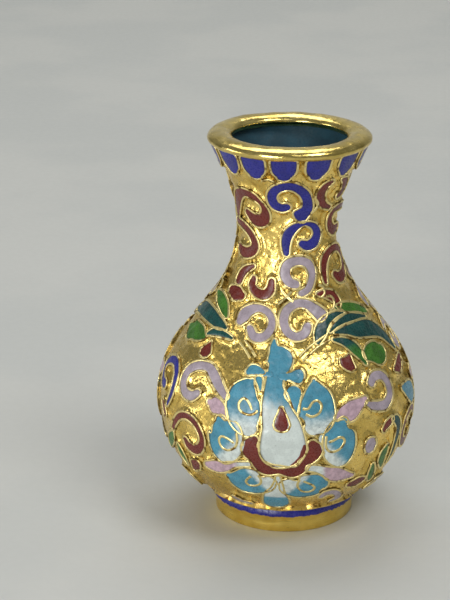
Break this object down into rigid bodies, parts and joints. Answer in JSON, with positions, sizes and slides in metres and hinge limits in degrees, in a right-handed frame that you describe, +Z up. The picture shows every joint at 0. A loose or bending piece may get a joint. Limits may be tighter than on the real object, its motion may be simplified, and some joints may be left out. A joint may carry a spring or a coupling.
{
  "type": "cloisonne vase",
  "caption": "Miniature cloisonne bud vase: gilt copper baluster body with raised gilt wire cells of coloured enamel, rolled rim, plain foot ring and enamelled inside.",
  "frame": {"origin": "centre of the foot ring's underside, on the surface the vase stands on", "axes": "+Z up along the vase's turning axis, -Y towards the front lotus, +X to the right seen from the front"},
  "size_m": [0.0492, 0.049, 0.075],
  "materials": {
    "gilt_ground": "bright gilt copper ground, hammered and finely pitted",
    "polished_gilt_rim": "polished gilt",
    "satin_gilt_foot": "satin gilt, brushed round the vase",
    "gilt_wire": "pale gilt, ground flat and softly polished",
    "dark_teal_enamel": "glossy",
    "cobalt_enamel": "fine stone-polished gloss",
    "oxblood_enamel": "fine stone-polished gloss",
    "lilac_enamel": "fine stone-polished gloss, mottled",
    "leaf_green_enamel": "fine stone-polished gloss",
    "leaf_teal_enamel": "fine stone-polished gloss",
    "white_enamel": "fine stone-polished gloss, fading to turquoise",
    "pink_enamel": "fine stone-polished gloss, mottled",
    "turquoise_enamel": "fine stone-polished gloss, fading to white"
  },
  "bodies": {
    "root": {"body_shell": "gilt_ground", "rim_ring": "polished_gilt_rim", "foot_ring": "satin_gilt_foot", "interior_enamel": "dark_teal_enamel", "underside_enamel": "dark_teal_enamel", "foot_band_enamel": "cobalt_enamel", "foot_band_wire": "gilt_wire", "collar_wires": "gilt_wire", "collar_blue_enamel": "cobalt_enamel", "neck_scroll_wires": "gilt_wire", "neck_blue_enamel": "cobalt_enamel", "neck_red_enamel": "oxblood_enamel", "shoulder_scroll_wires": "gilt_wire", "shoulder_lilac_enamel": "lilac_enamel", "shoulder_red_enamel": "oxblood_enamel", "leaf_wires": "gilt_wire", "leaf_green_enamel": "leaf_green_enamel", "leaf_teal_enamel": "leaf_teal_enamel", "side_turquoise_enamel": "turquoise_enamel", "bud_wires": "gilt_wire", "bud_red_enamel": "oxblood_enamel", "belly_scroll_wires": "gilt_wire", "belly_blue_enamel": "cobalt_enamel", "belly_lilac_enamel": "lilac_enamel", "belly_red_enamel": "oxblood_enamel", "low_scroll_wires": "gilt_wire", "low_lilac_enamel": "lilac_enamel", "front_lotus_wires": "gilt_wire", "front_lotus_curls": "gilt_wire", "front_lotus_heart": "white_enamel", "front_lotus_seed": "oxblood_enamel", "front_lotus_upper_petals": "turquoise_enamel", "front_lotus_side_petals": "turquoise_enamel", "front_lotus_lower_petals": "turquoise_enamel", "front_lotus_sepal": "oxblood_enamel", "front_lotus_pink_petals": "pink_enamel", "front_lotus_drop": "white_enamel", "right_lotus_wires": "gilt_wire", "right_lotus_curls": "gilt_wire", "right_lotus_heart": "white_enamel", "right_lotus_seed": "oxblood_enamel", "right_lotus_upper_petals": "turquoise_enamel", "right_lotus_side_petals": "turquoise_enamel", "right_lotus_lower_petals": "turquoise_enamel", "right_lotus_sepal": "oxblood_enamel", "right_lotus_pink_petals": "pink_enamel", "right_lotus_drop": "white_enamel", "left_lotus_wires": "gilt_wire", "left_lotus_curls": "gilt_wire", "left_lotus_heart": "white_enamel", "left_lotus_seed": "oxblood_enamel", "left_lotus_upper_petals": "turquoise_enamel", "left_lotus_side_petals": "turquoise_enamel", "left_lotus_lower_petals": "turquoise_enamel", "left_lotus_sepal": "oxblood_enamel", "left_lotus_pink_petals": "pink_enamel", "left_lotus_drop": "white_enamel"}
  },
  "joints": []
}
